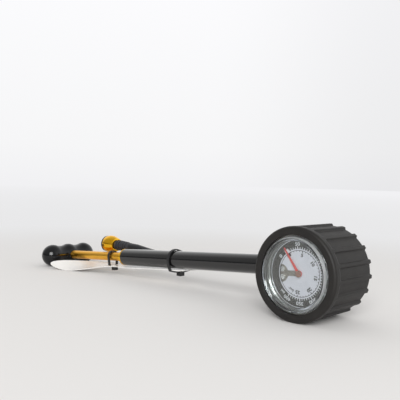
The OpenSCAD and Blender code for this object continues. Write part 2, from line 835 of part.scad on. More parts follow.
module strain_relief() {
    ribs = 5;
    tip_r = hose_r + 0.3;
    pitch = (relief_len - 5) / ribs;
    color("#232326") chuck_turned() {
        polygon([
            [0, relief_end], [tip_r - 0.1, relief_end], [tip_r, relief_end + 4],
            [tip_r + 0.1, relief_end + 4],
            [relief_r - 0.6, sleeve_end - 0.3], [0, sleeve_end - 0.3]
        ]);
        for (i = [0 : ribs - 1]) {
            s = relief_end + 4.4 + i * pitch;
            r = tip_r + 0.5 + (relief_r - tip_r - 0.5) * i / (ribs - 1);
            ring(0, r, s, s + pitch * 0.6);
        }
    }
}

module chuck_stem() {
    color("#c8b070") chuck_turned() difference() {
        union() {
            ring(0, stem_bore - run_gap, sleeve_end - 0.3, stem_top);
            ring(0, 5, sleeve_end + 1.7, stem_top - 0.6);
        }
        ring(0, 1.1, sleeve_end - 1, nose);
    }
}

module core_pin() {
    color("#e0c070") chuck_turned() {
        ring(0, 1.1 - 0.03, stem_top - 4, stem_top);
        ring(0, 0.7, stem_top - 1, stem_top + 1.2);
    }
}

module valve_gasket() {
    color("#151515") chuck_turned() ring(1.5, stem_bore - 0.3, stem_top + 0.02, stem_top + 1.4);
}

module chuck_sleeve() {
    neck_r = 5.9;
    bulge = chuck_d / 2 - neck_r;
    body_len = chuck_front - sleeve_end - 0.5;
    outline = [for (i = [0 : 12])
        [neck_r + bulge * sin(10 + 120 * i / 12), sleeve_end + 0.5 + body_len * i / 12]];
    color("#d9a02c") chuck_turned() difference() {
        polygon(concat([[0, sleeve_end], [neck_r, sleeve_end]], outline, [[0, chuck_front]]));
        ring(0, stem_bore, sleeve_end - 1, sleeve_end + 2);
        ring(0, 5.2, sleeve_end + 1.5, chuck_front - thread_len - 0.4);
        ring(0, valve_r, chuck_front - thread_len - 1, chuck_front + 1);
    }
}

module nose_ring() {
    inner = valve_r + 0.2;
    outer = chuck_d / 2 - 0.7;
    color("#1a1a1a") chuck_turned() polygon([
        [inner, chuck_front], [outer, chuck_front], [outer, nose - 0.7], [outer - 0.7, nose], [inner, nose]
    ]);
}

// ---- card and ties ----

// Closed band round a convex outline, with its head at the bottom: x is across, y is up
module tie_band(spots) {
    linear_extrude(tie_w, center = true) difference() {
        hull() for (p = spots) translate([p[0], p[1]]) circle(p[2] + tie_t, $fn = 32);
        hull() for (p = spots) translate([p[0], p[1]]) circle(p[2], $fn = 32);
    }
}

module cable_tie_rod() {
    axis_z = boot_r + barrel_rise * cos(rest_tilt) + tie_rod_x * sin(rest_tilt);
    color("#151517") on_table() translate([tie_rod_x, barrel_back, axis_z]) rotate([0, -rest_tilt, 0])
        rotate([90, 0, 90]) {
            tie_band([[0, 0, rod_r + 0.5], [-1.6, -tie_drop, 2.2], [1.8, -tie_drop, 2.2]]);
            translate([2.4, -tie_drop - 3 - tie_head[1] / 2, -0.4]) cube(tie_head, center = true);
        }
}

module cable_tie_barrel() {
    axis_z = boot_r + barrel_rise * cos(rest_tilt) + tie_barrel_x * sin(rest_tilt);
    hose_at = hose_route[8];
    near = [card_tie[1] - 0.1, card_tie[2] + 0.1];
    far = [card_tie[3] + 0.1, card_tie[4] + 0.2];
    under = (near + far) / 2 - [0, 1.8];
    color("#151517") on_table() translate([tie_barrel_x, 0, 0]) rotate([90, 0, 90]) {
        tie_band([[barrel_back, axis_z, barrel_r + 0.5], [hose_at[1], hose_at[2], hose_r + 0.5],
            [near[0], near[1], 0.9], [far[0], far[1], 0.9], [under[0], under[1], 0.9]]);
        translate([under[0], under[1] - 0.7 - tie_head[1] / 2, 0.4])
            cube(tie_head + [0.8, 0, 0.2], center = true);
    }
}

module hang_card() {
    n = len(card_stations);
    pts = [for (s = card_stations)
        let (near = [s[0], s[1], s[2]], far = [s[0], s[3], s[4]], down = [0, 0, -card_t])
        each [near, far, far + down, near + down]];
    faces = concat([[0, 1, 2, 3]], [[for (k = [3 : -1 : 0]) (n - 1) * 4 + k]],
        [for (i = [0 : n - 2]) for (k = [0 : 3])
            let (a = i * 4, b = a + 4, next = (k + 1) % 4)
            each [[a + k, b + k, b + next], [a + k, b + next, a + next]]]);
    color("#f2f0ec") on_table() difference() {
        polyhedron(pts, faces);
        translate([card_slot[0] - card_slot_size[0] / 2, card_slot[1] - card_slot_size[1] / 2, 0])
            cube([card_slot_size[0], card_slot_size[1], boot_r]);
    }
}

rubber_boot();
gauge_case();
gauge_lens();
lens_seal();
dial_plate();
movement_screws();
movement_front_plate();
movement_back_plate();
movement_pillars();
sector_gear();
sector_arbor();
tip_link();
pointer_arbor();
pointer();
bourdon_tube();
gauge_socket();
socket_seal();
head_block();
check_seat();
check_poppet();
check_spring();
bleed_button();
bleed_spring();
bleed_seal();
barrel_gasket();
barrel();
barrel_collar();
rod_wiper();
piston_rod();
piston_head();
piston_seal();
handle();
handle_bolt();
hose_swivel();
swivel_bolt();
swivel_seals();
hose_ferrule();
hose();
strain_relief();
chuck_stem();
core_pin();
valve_gasket();
chuck_sleeve();
nose_ring();
cable_tie_rod();
cable_tie_barrel();
hang_card();
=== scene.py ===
"""Shock suspension pump, lying on a pale table: how each piece looks, in the order it is put together.

A piece's own sizes are in millimetres, and pump() and on_table() turn them into metres in the
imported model's frame, where +X runs from the handle to the gauge, +Y from the dial's face to the
gauge's back, and +Z is up. The hose's width, the camera, the table and the lamp are in metres.
"""

import bmesh
import bpy
import numpy as np
from mathutils import Matrix, Vector


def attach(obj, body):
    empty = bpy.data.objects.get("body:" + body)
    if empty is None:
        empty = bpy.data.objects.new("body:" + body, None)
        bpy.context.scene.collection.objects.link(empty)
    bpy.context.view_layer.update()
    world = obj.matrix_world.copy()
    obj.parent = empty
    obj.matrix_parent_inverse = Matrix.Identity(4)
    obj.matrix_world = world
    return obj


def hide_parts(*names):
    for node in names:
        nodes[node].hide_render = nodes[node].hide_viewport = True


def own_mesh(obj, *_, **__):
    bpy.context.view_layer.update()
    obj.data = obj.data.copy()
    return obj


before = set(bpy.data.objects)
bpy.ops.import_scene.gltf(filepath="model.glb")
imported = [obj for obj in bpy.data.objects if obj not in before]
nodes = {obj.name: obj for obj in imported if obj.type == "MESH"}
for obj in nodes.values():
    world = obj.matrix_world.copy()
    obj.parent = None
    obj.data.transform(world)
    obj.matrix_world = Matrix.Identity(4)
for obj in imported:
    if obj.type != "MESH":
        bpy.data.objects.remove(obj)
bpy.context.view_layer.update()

# ---- Camera ----
# A 54.6 mm lens on a 36 mm sensor, low in front of the gauge and looking along the barrel
# towards the handle. Its three directions are the columns of its turn.

right = np.array([0.72991115, 0.6829889, 0.02749302])
up = np.array([-0.04634194, 0.00931671, 0.99888219])
ahead = np.array([-0.68196931, 0.73036933, -0.0384514])
camera = bpy.data.objects.new("camera", bpy.data.cameras.new("camera"))
camera.data.lens = 54.6075
camera.data.clip_start = 0.02
camera.data.clip_end = 50
turn = np.eye(4)
turn[:3, :3] = np.stack([right, up, -ahead], axis=1)
turn[:3, 3] = [0.36143, -0.35913, 0.09384]
camera.matrix_world = Matrix(turn.tolist())
bpy.context.scene.collection.objects.link(camera)
bpy.context.scene.camera = camera

# ---- Hose ----
# Extruded nitrile rubber, 7 mm across and slightly shiny. It leaves the swivel's ferrule behind
# the gauge and lies along the back of the barrel to the chuck's strain relief.


def linear(code):
    """Linear colour of an sRGB hex value: c / 12.92 to 0.04045, ((c + 0.055) / 1.055) ^ 2.4 above."""
    c = np.array([int(code[i : i + 2], 16) for i in (1, 3, 5)]) / 255
    return (*np.where(c <= 0.04045, c / 12.92, ((c + 0.055) / 1.055) ** 2.4).tolist(), 1.0)


def add(tree, kind, sockets=(), **settings):
    """Adds one shader node. sockets pairs an input's name or number with a value or an output."""
    made = tree.nodes.new("ShaderNode" + kind)
    for name, value in settings.items():
        setattr(made, name, value)
    for name, value in dict(sockets).items():
        if isinstance(value, bpy.types.NodeSocket):
            tree.links.new(value, made.inputs[name])
        else:
            made.inputs[name].default_value = value
    return made


def inside(made):
    """A material's node tree and its Principled shader."""
    return made.node_tree, made.node_tree.nodes["Principled BSDF"]


def finish_of(name, colour, roughness, **shader):
    """New material with one Principled shader. shader names inputs with _ for a space."""
    made = bpy.data.materials.new(name)
    made.use_nodes = True
    skin = inside(made)[1]
    skin.inputs["Base Color"].default_value = linear(colour)
    skin.inputs["Roughness"].default_value = roughness
    for key, value in shader.items():
        skin.inputs[key.replace("_", " ")].default_value = value
    return made


def speckle(tree, scale, detail, stretch):
    """Noise on Object coordinates, scale patches to the metre, more along an axis that stretch raises."""
    place = add(tree, "TexCoord").outputs["Object"]
    sized = add(tree, "Mapping", {"Vector": place, "Scale": stretch}).outputs[0]
    return add(tree, "TexNoise", {"Vector": sized, "Scale": scale, "Detail": detail}).outputs[0]


def mottle(made, low, high, scale, stretch=(1, 1, 1)):
    """Varies the base colour between two hex colours with noise."""
    tree, skin = inside(made)
    ramp = add(tree, "ValToRGB", {0: speckle(tree, scale, 3.0, stretch)})
    for step, place, code in zip(ramp.color_ramp.elements, (0.36, 0.64), (low, high)):
        step.position, step.color = place, linear(code)
    tree.links.new(ramp.outputs[0], skin.inputs["Base Color"])


def grain(made, size_mm, depth_mm, spread=0.0, stretch=(1, 1, 1)):
    """Fine surface grain: noise of that size drives a bump of that depth and, where spread is given,
    a roughness that strays by so much to either side of the finish's own. The noise lies mostly
    between 0.3 and 0.7."""
    tree, skin = inside(made)
    noise = speckle(tree, 1000 / size_mm, 2.0, stretch)
    bump = add(tree, "Bump", {"Height": noise, "Distance": depth_mm / 1000, "Strength": 1.0})
    tree.links.new(bump.outputs[0], skin.inputs["Normal"])
    if spread:
        own = skin.inputs["Roughness"].default_value
        rough = add(tree, "MapRange", {0: noise, 1: 0.3, 2: 0.7, 3: own - spread, 4: own + spread})
        tree.links.new(rough.outputs[0], skin.inputs["Roughness"])


def skin_over(name, grid, finish, rides, round_u=False, sharp=40):
    """Mesh over a grid of points (m, n, 3). Face (i, j) joins points (i, j), (i + 1, j),
    (i + 1, j + 1) and (i, j + 1), wrapping round in j, and in i where asked. Doubles are merged, so
    a row in one point becomes a pole, and edges sharper than the given degrees stay sharp."""
    grid = np.asarray(grid, float)
    m, n = grid.shape[:2]
    number = np.arange(m * n).reshape(m, n)
    number = np.concatenate([number, number[:, :1]], axis=1)
    if round_u:
        number = np.concatenate([number, number[:1]])
    quads = np.stack([number[:-1, :-1], number[1:, :-1], number[1:, 1:], number[:-1, 1:]], -1)
    mesh = bpy.data.meshes.new(name)
    mesh.from_pydata(grid.reshape(-1, 3).tolist(), [], quads.reshape(-1, 4).tolist())
    return settle(name, mesh, finish, rides, sharp)


def settle(name, mesh, finish, rides, sharp=40):
    """Merges doubles, turns the faces outwards, smooths them and puts the piece on its body."""
    shape = bmesh.new()
    shape.from_mesh(mesh)
    bmesh.ops.remove_doubles(shape, verts=shape.verts, dist=2e-6)
    bmesh.ops.recalc_face_normals(shape, faces=shape.faces)
    shape.to_mesh(mesh)
    shape.free()
    mesh.polygons.foreach_set("use_smooth", np.ones(len(mesh.polygons), bool))
    mesh.set_sharp_from_angle(angle=np.radians(sharp))
    mesh.materials.append(finish)
    made = bpy.data.objects.new(name, mesh)
    bpy.context.scene.collection.objects.link(made)
    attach(made, rides)
    return made


def smooth_path(points, steps):
    """Catmull-Rom curve through the points: each span runs from b to c with slopes (c - a) / 2
    and (d - b) / 2, so it passes through every point without a corner."""
    p = np.asarray(points, float)
    p = np.concatenate([2 * p[:1] - p[1:2], p, 2 * p[-1:] - p[-2:-1]])
    a, b, c, d = p[:-3, None], p[1:-2, None], p[2:-1, None], p[3:, None]
    t = (np.arange(steps) / steps)[None, :, None]
    curve = 0.5 * (2 * b + (c - a) * t + (2 * a - 5 * b + 4 * c - d) * t**2 + (3 * b - a - 3 * c + d) * t**3)
    return np.concatenate([curve.reshape(-1, p.shape[1]), p[-2:-1]])


def tube(path, radius, sides):
    """Round tube: path point + radius * (cos a * side + sin a * top), with side level."""
    ahead_of = np.gradient(path, axis=0)
    ahead_of /= np.linalg.norm(ahead_of, axis=1)[:, None]
    side = np.cross(ahead_of, [0, 0, 1.0])
    side /= np.linalg.norm(side, axis=1)[:, None]
    top = np.cross(side, ahead_of)
    a = np.linspace(0, 2 * np.pi, sides, endpoint=False)
    ring = np.cos(a)[None, :, None] * side[:, None] + np.sin(a)[None, :, None] * top[:, None]
    return path[:, None] + radius * ring


gauge_axis = np.array([0.139109, -0.030775, 0.0])


def on_table(mm):
    """Points given in millimetres from the foot of the gauge's axis, square to the table, in metres."""
    return np.asarray(mm, float) / 1000 + gauge_axis


hose_route_mm = [
    (-25, 52.8, 29.8), (-38, 52.8, 28.8), (-52, 52.2, 27.8), (-66, 50.6, 26.9), (-80, 48.6, 26),
    (-94, 46.9, 25.1), (-108, 46, 24.3), (-124, 45.7, 23.5), (-140, 45.7, 22.8), (-156, 45.7, 22.4),
    (-170, 45.7, 22.4), (-182, 45.6, 22.8), (-194, 45.3, 24.1), (-203, 45.1, 25.3), (-209, 45, 25.7),
    (-213.95, 45, 25.7),
]
hose_path = smooth_path(on_table(hose_route_mm), 6)
hose_width = 0.007
hose_rubber = finish_of("extruded_hose_rubber", "#17171a", 0.42, Specular_IOR_Level=0.45)
grain(hose_rubber, 0.5, 0.012, spread=0.06)
hose = skin_over("hose_skin", tube(hose_path, hose_width / 2, 28), hose_rubber, "pump_body")
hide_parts("hose")

# ---- Rubber boot ----
# One thick moulded piece of charcoal rubber, stretched over the gauge. Its front is a flat ring
# with a soft edge, and behind a smooth band its side is cut into panels between rounded ridges.

tilt = np.radians(4.4055)
boot_r, groove_r, boot_back, wall_t = 31.75, 30.25, 47.0, 2.2
case_hole_r, lens_hole_r, back_hole_r = 27.65, 26.1, 20.55
barrel_y, barrel_z, barrel_hole_r = 34.0, 2.0, 7.8
relief_in, relief_out = 26.5, 30.0
band_end, band_ramp = 5.5, 1.1
ridge_count, ridge_turn, ridge_half, ridge_ramp, ridge_steps = 19, -7.5, 1.95, 0.95, 30
side_start, side_stop, side_rows = 2.3, 45.9, 51


def pump(x, y, z):
    """Point in millimetres from the gauge's centre, x along the barrel and y into the dial, moved
    to the table: turned by the pump's tilt about Y and lifted by the boot's radius."""
    x, y, z = np.broadcast_arrays(np.asarray(x, float), y, z)
    along, rise = x * np.cos(tilt) - z * np.sin(tilt), x * np.sin(tilt) + z * np.cos(tilt)
    return on_table(np.stack([along, y, rise + boot_r], -1))


def ease(t):
    """Smooth step: 3 t^2 - 2 t^3, held at 0 and 1."""
    t = np.clip(t, 0, 1)
    return t * t * (3 - 2 * t)


def eased_corners(points, radius, steps=5):
    """Profile with each inner corner p made round: it is cut at r tan(turn / 2) along both sides,
    joined by an arc, and given a point just before and after so that flat faces stay flat."""
    p = np.asarray(points, float)
    out = [p[:1]]
    for i in range(1, len(p) - 1):
        u = (p[i - 1] - p[i]) / np.linalg.norm(p[i - 1] - p[i])
        v = (p[i + 1] - p[i]) / np.linalg.norm(p[i + 1] - p[i])
        half = np.arccos(np.clip(u @ v, -1, 1)) / 2
        if radius[i] == 0:
            out.append(p[i : i + 1])
            continue
        cut = radius[i] / np.tan(half)
        middle = p[i] + (u + v) / np.linalg.norm(u + v) * radius[i] / np.sin(half)
        a, b = p[i] + u * cut - middle, p[i] + v * cut - middle
        t = np.linspace(0, 1, steps + 1)[:, None]
        span = np.pi - 2 * half
        arc = middle + (np.sin((1 - t) * span) * a + np.sin(t * span) * b) / np.sin(span)
        out += [p[i : i + 1] + u * cut * 1.12, arc, p[i : i + 1] + v * cut * 1.12]
    out.append(p[-1:])
    return np.concatenate(out)


def boot_surface():
    """Rings (r, y) carried round the gauge's axis. The relief at angle a and depth y is
    1 - (1 - ridge(a)) (1 - band(y)), and a ring's radius is r - k (boot_r - groove_r) (1 - relief),
    where k grows from 0 at relief_in to 1 at relief_out and so keeps the ends and the bore round."""
    rows = eased_corners(
        [(case_hole_r, wall_t), (lens_hole_r, wall_t), (lens_hole_r, 0), (boot_r, 0), (boot_r, boot_back),
         (back_hole_r, boot_back), (back_hole_r, boot_back - wall_t), (case_hole_r, boot_back - wall_t),
         (case_hole_r, wall_t)],
        [0, 0.2, 0.45, 2.0, 0.9, 0.5, 0.2, 0.2, 0],
    )
    outer = np.flatnonzero(rows[:, 0] > boot_r - 1e-6)
    depths = np.linspace(side_start, side_stop, side_rows)
    side = np.stack([np.full_like(depths, boot_r), depths], 1)
    rows = np.concatenate([rows[: outer[0] + 1], side, rows[outer[-1] :]])
    r, y = rows[:-1, 0], rows[:-1, 1]
    k = ease((r - relief_in) / (relief_out - relief_in))
    a = np.linspace(0, 2 * np.pi, ridge_count * ridge_steps, endpoint=False)
    pitch = 2 * np.pi / ridge_count
    off = np.abs((a - np.radians(ridge_turn) + pitch / 2) % pitch - pitch / 2) * boot_r
    ridge = ease((ridge_half - off) / ridge_ramp)
    band = 1 - ease((y - band_end) / band_ramp)
    relief = 1 - (1 - ridge[None]) * (1 - band[:, None])
    radius = r[:, None] - k[:, None] * (boot_r - groove_r) * (1 - relief)
    return pump(radius * np.cos(a), np.broadcast_to(y[:, None], radius.shape), radius * np.sin(a))


def cut_out(target, cutter):
    """Cuts the cutter's shape out of the target, and keeps the result as the target's mesh."""
    bite = target.modifiers.new("bite", "BOOLEAN")
    bite.operation, bite.solver, bite.object = "DIFFERENCE", "EXACT", cutter
    graph = bpy.context.evaluated_depsgraph_get()
    made = bpy.data.meshes.new_from_object(target.evaluated_get(graph))
    target.modifiers.clear()
    target.data = made
    bpy.data.objects.remove(cutter)


def plain(name, points, faces):
    """Object made straight from points and faces, with no body or slot of its own."""
    mesh = bpy.data.meshes.new(name)
    mesh.from_pydata(np.asarray(points).tolist(), [], faces)
    made = bpy.data.objects.new(name, mesh)
    bpy.context.scene.collection.objects.link(made)
    return made


def bored(name, r, s0, s1, sides=40):
    """Round cutter along the barrel's axis, from s0 to s1 mm from the gauge's axis."""
    a = np.linspace(0, 2 * np.pi, sides, endpoint=False)
    rings = [pump(-s, barrel_y + r * np.cos(a), barrel_z + r * np.sin(a)) for s in (s0, s1)]
    i = np.arange(sides)
    j = (i + 1) % sides
    walls = np.stack([i, j, sides + j, sides + i], 1).tolist()
    return plain(name, np.concatenate(rings), [i[::-1].tolist(), (sides + i).tolist(), *walls])


boot_rubber = finish_of("moulded_charcoal_rubber", "#1e1b19", 0.52, Specular_IOR_Level=0.33)
mottle(boot_rubber, "#1b1918", "#211f1d", 90)
grain(boot_rubber, 0.35, 0.03, spread=0.07)
boot = skin_over("boot_skin", boot_surface(), boot_rubber, "pump_body", round_u=True, sharp=50)
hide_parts("rubber_boot")
cut_out(boot, bored("barrel_cutter", barrel_hole_r, 24, 33, sides=48))

# ---- Gauge case and seals ----
# A cup die-cast in zinc and tumbled to a grey satin, with a nitrile ring under the lens. The
# pump's other seals and gaskets are of the same rubber.

cast_zinc = finish_of("die_cast_zinc", "#85837e", 0.42, Metallic=1.0)
mottle(cast_zinc, "#7b7974", "#8f8d88", 260)
grain(cast_zinc, 0.35, 0.012, spread=0.07)
seal_rubber = finish_of("nitrile_seal_rubber", "#101010", 0.6)
grain(seal_rubber, 0.25, 0.004)


def dress(finish, *names):
    """Gives CAD nodes one finish."""
    for name in names:
        mesh = nodes[name].data
        mesh.materials.clear()
        mesh.materials.append(finish)


dress(cast_zinc, "gauge_case")
dress(seal_rubber, "lens_seal", "socket_seal", "bleed_seal", "barrel_gasket", "rod_wiper", "piston_seal",
      "swivel_seals", "valve_gasket")

# ---- Lens ----
# Injection-moulded clear polycarbonate: a flat window with a broad bevel, a rim that drops into
# the case and a skirt round the dial. The bevel is frosted, so it shows as a pale ring.

window_front, window_back = -1.4, 0.6
bevel_in, bevel_out = 23.7, 24.7
flange_r, flange_front, flange_back = 25.6, 2.48, 6.8
shoulder_r, skirt_r, skirt_back = 23.2, 22.4, 8.4
frost_depth, frost_ramp = 1.0, 0.3
clear_rough, frost_rough, frost_clarity = 0.02, 0.55, 0.75


def turned(profile, origin, axis, side, top, sides):
    """Surface of revolution: origin + s * axis + r (cos a * side + sin a * top) for (r, s)."""
    profile = np.asarray(profile, float)
    r, s = profile[:, 0, None, None], profile[:, 1, None, None]
    a = np.linspace(0, 2 * np.pi, sides, endpoint=False)
    across = np.cos(a)[:, None] * np.asarray(side, float) + np.sin(a)[:, None] * np.asarray(top, float)
    mm = np.asarray(origin) + s * np.asarray(axis, float) + r * across
    return pump(mm[..., 0], mm[..., 1], mm[..., 2])


def dial_turned(profile, sides=180):
    """Turned on the gauge axis: the profile is (radius, depth behind the boot's front)."""
    return turned(profile, (0, 0, 0), (0, 1, 0), (1, 0, 0), (0, 0, 1), sides)


def box_corners(xs, ys, zs):
    """The eight corners of a box, from its two places along each axis."""
    return np.array([(x, y, z) for x in xs for y in ys for z in zs], float)


def boxed(name, corners):
    """Box cutter over eight corners in the order of box_corners."""
    faces = [[0, 1, 3, 2], [4, 6, 7, 5], [0, 4, 5, 1], [2, 3, 7, 6], [0, 2, 6, 4], [1, 5, 7, 3]]
    return plain(name, corners, faces)


# The frost is 1 where the distance from the axis is past bevel_in and the depth before frost_depth.
polycarbonate = finish_of("clear_polycarbonate", "#f4f8f8", clear_rough, IOR=1.58, Transmission_Weight=1.0)
tree, skin = inside(polycarbonate)
place = add(tree, "TexCoord").outputs["Object"]
flat = add(tree, "VectorMath", {0: place, 1: (1.0, 0.0, 1.0)}, operation="MULTIPLY").outputs[0]
centre = (gauge_axis[0], 0.0, gauge_axis[2] + boot_r / 1000)
out = add(tree, "VectorMath", {0: flat, 1: centre}, operation="DISTANCE").outputs["Value"]
past = add(tree, "MapRange", {0: out, 1: bevel_in / 1000, 2: (bevel_in + frost_ramp) / 1000}).outputs[0]
deep = add(tree, "SeparateXYZ", {0: place}).outputs["Y"]
limits = [gauge_axis[1] + depth / 1000 for depth in (frost_depth, frost_depth + frost_ramp)]
before = add(tree, "MapRange", {0: deep, 1: limits[0], 2: limits[1], 3: 1.0, 4: 0.0}).outputs[0]
frost = add(tree, "Math", {0: past, 1: before}, operation="MULTIPLY").outputs[0]
rough = add(tree, "MapRange", {0: frost, 3: clear_rough, 4: frost_rough}).outputs[0]
through = add(tree, "MapRange", {0: frost, 3: 1.0, 4: frost_clarity}).outputs[0]
tree.links.new(rough, skin.inputs["Roughness"])
tree.links.new(through, skin.inputs["Transmission Weight"])

# Shadow and diffuse rays go straight through, so that the dial behind is lit.
ray = add(tree, "LightPath").outputs
passing = add(tree, "Math", {0: ray["Is Shadow Ray"], 1: ray["Is Diffuse Ray"]}, operation="MAXIMUM")
clear = add(tree, "BsdfTransparent", {"Color": linear("#f6f8f8")})
both = add(tree, "MixShader", {0: passing.outputs[0], 1: skin.outputs[0], 2: clear.outputs[0]})
tree.links.new(both.outputs[0], tree.nodes["Material Output"].inputs["Surface"])

lens_profile = eased_corners(
    [(0, window_front), (bevel_in, window_front), (bevel_out, window_back), (bevel_out, flange_front),
     (flange_r, flange_front), (flange_r, flange_back), (shoulder_r, flange_back), (shoulder_r, skirt_back),
     (skirt_r, skirt_back), (skirt_r, window_back), (0, window_back)],
    [0, 0.3, 0.3, 0.1, 0.15, 0.2, 0.15, 0.1, 0.1, 0.3, 0],
)
lens = skin_over("lens_clear_window", dial_turned(lens_profile, 240), polycarbonate, "pump_body",
                 sharp=30)
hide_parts("gauge_lens")
notch_box = box_corners((-3, 3), (-2.4, 1.8), (-26.6, -23.7))
cut_out(lens, boxed("notch_cutter", pump(*notch_box.T)))

# ---- Dial ----
# Aluminium sheet, coated white and screen printed: a black ring with white strokes and numbers for
# psi, and black strokes and numbers for bar inside it. Ink lies a few hundredths of a mm proud.

dial_y, ink_t = 8.5, 0.03
zero_turn, sweep = -33.0, 245
full_psi, full_bar = 400, 27.58
psi_step, bar_step = sweep / full_psi, sweep / full_bar
ring_in, ring_out = 16.4, 22.2
circle_in, circle_out = 15.2, 15.55
psi_from, bar_to = ring_in - 0.05, 15.3
psi_zero_to, psi_zero_width = 18.6, 3.0
bar_zero_from, bar_zero_width = 13.2, 3.2
psi_number_r, bar_number_r = 19.5, 12.3
letter_widen = 1.15


def inked(name, outlines, height, finish):
    """Flat shapes at a height above the dial, each a loop of (x, z) points, given a wall of ink_t
    towards the viewer: front points, then the same points ink_t deeper, joined round the loop."""
    points, faces, base = [], [], 0
    for loop in outlines:
        loop = np.asarray(loop, float)
        n = len(loop)
        points += [np.insert(loop, 1, dial_y - height - t, axis=1) for t in (ink_t, 0)]
        i = np.arange(n)
        j = (i + 1) % n
        faces += [(base + i).tolist(), (base + n + i[::-1]).tolist()]
        faces += np.stack([base + i, base + n + i, base + n + j, base + j], 1).tolist()
        base += 2 * n
    mesh = bpy.data.meshes.new(name)
    mesh.from_pydata(pump(*np.concatenate(points).T).tolist(), [], faces)
    return settle(name, mesh, finish, "pump_body")


def polar(r, turn):
    """(x, z) at radius r, clockwise from the top by turn degrees: (r sin, r cos)."""
    return np.stack(np.broadcast_arrays(r * np.sin(np.radians(turn)), r * np.cos(np.radians(turn))), -1)


def stroke(turn, r0, r1, width):
    """Radial stroke from r0 to r1, width across, as a loop of four points."""
    out, across = polar(1.0, turn), polar(0.5 * width, turn + 90)
    return np.array([out * r0 - across, out * r0 + across, out * r1 + across, out * r1 - across])


def ringed(name, r0, r1, finish):
    """Whole ring of ink as one surface of revolution, front and back."""
    front = dial_y - ink_t
    profile = [(r0, front), (r1, front), (r1, dial_y), (r0, dial_y)]
    return skin_over(name, dial_turned(profile), finish, "pump_body", round_u=True)


def lettered(name, words, size, height, finish, bold=0.02):
    """Printed words at a height above the dial: (text, turn, radius). Each stands across its radius
    with its top outwards, and its strokes grow by bold times the size."""
    whole = bmesh.new()
    for text, turn, r in words:
        curve = bpy.data.curves.new("printed", "FONT")
        curve.body, curve.size, curve.align_x, curve.align_y = text, size, "CENTER", "CENTER"
        curve.extrude, curve.resolution_u, curve.offset = ink_t / 2, 3, bold * size
        holder = bpy.data.objects.new("printed", curve)
        bpy.context.scene.collection.objects.link(holder)
        mesh = bpy.data.meshes.new_from_object(holder.evaluated_get(bpy.context.evaluated_depsgraph_get()))
        bpy.data.objects.remove(holder)
        co = np.zeros(len(mesh.vertices) * 3, np.float32)
        mesh.vertices.foreach_get("co", co)
        co = co.reshape(-1, 3)
        outward, along = polar(1.0, turn), polar(1.0, turn + 90)
        spot = polar(r, turn) + co[:, :1] * letter_widen * along + co[:, 1:2] * outward
        placed = pump(spot[:, 0], dial_y - height - ink_t / 2 - co[:, 2], spot[:, 1])
        mesh.vertices.foreach_set("co", placed.astype(np.float32).ravel())
        whole.from_mesh(mesh)
        bpy.data.meshes.remove(mesh)
    mesh = bpy.data.meshes.new(name)
    whole.to_mesh(mesh)
    whole.free()
    return settle(name, mesh, finish, "pump_body")


dial_white = finish_of("coated_dial_white", "#c7c6ce", 0.38, Specular_IOR_Level=0.5)
mottle(dial_white, "#c4c3cb", "#cbcad2", 140)
grain(dial_white, 0.3, 0.002)
dress(dial_white, "dial_plate")
ink_black = finish_of("screen_printed_black", "#26231f", 0.45)
mottle(ink_black, "#211f1c", "#2b2824", 220)
ink_white = finish_of("screen_printed_white", "#d0d0d4", 0.45)
mottle(ink_white, "#cbcbcf", "#d5d5d9", 220)
ringed("dial_ring_black", ring_in, ring_out, ink_black)
ringed("dial_circle_black", circle_in, circle_out, ink_black)

psi_marks = []
for p in range(10, full_psi + 1, 10):
    psi_to, width = (18.1, 0.66) if p % 50 == 0 else (17.7, 0.5)
    psi_marks.append(stroke(zero_turn + psi_step * p, psi_from, psi_to, width))
psi_marks.append(stroke(zero_turn, psi_from, psi_zero_to, psi_zero_width))
inked("psi_strokes", psi_marks, ink_t, ink_white)

bar_marks = []
for b in range(1, int(full_bar) + 1):
    bar_from, width = (14.1, 0.6) if b % 5 == 0 else (14.6, 0.42)
    bar_marks.append(stroke(zero_turn + bar_step * b, bar_from, bar_to, width))
bar_marks.append(stroke(zero_turn, bar_zero_from, bar_to, bar_zero_width))
inked("bar_strokes", bar_marks, 0.0, ink_black)

psi_words = [(str(p), zero_turn + psi_step * p, psi_number_r) for p in range(50, full_psi + 1, 50)]
psi_words.append(("0", -52.0, 18.2))
bar_words = [(str(b), zero_turn + bar_step * b, bar_number_r) for b in range(5, 26, 5)]
lettered("psi_numbers", psi_words, 3.35, ink_t, ink_white)
lettered("bar_numbers", bar_words, 3.1, 0.0, ink_black, bold=0.045)
lettered("psi_name", [("psi", 228.0, 18.6)], 2.6, ink_t, ink_white)
lettered("bar_name", [("bar", 213.0, 12.6)], 2.8, 0.0, ink_black)

# ---- Pointer ----
# The needle is stamped from aluminium sheet, painted red and pressed onto the pinion's arbor. A
# brown moulded cap covers its hub.

cap_r, cap_flat_r, cap_front, cap_edge, cap_back = 2.25, 1.4, 6.55, 6.8, 7.0
pointer_red = finish_of("painted_pointer_red", "#c8403a", 0.4)
mottle(pointer_red, "#bf3a34", "#cf4640", 260)
grain(pointer_red, 0.3, 0.003)
dress(pointer_red, "pointer")
cap_brown = finish_of("moulded_cap_brown", "#7d5a4c", 0.35)
mottle(cap_brown, "#735044", "#8b6757", 500)
grain(cap_brown, 0.2, 0.004)
cap_profile = eased_corners(
    [(0, cap_front), (cap_flat_r, cap_front), (cap_r, cap_edge), (cap_r, cap_back), (0, cap_back)],
    [0, 0.1, 0.12, 0, 0],
)
skin_over("pointer_cap", dial_turned(cap_profile, 64), cap_brown, "needle", sharp=50)

# ---- Gauge movement ----
# Blanked and nickel-plated brass plates and pillars, with brass gears, turned steel arbors, and a
# drawn bronze pressure tube soldered into its socket. Two cross-headed screws show in the window.

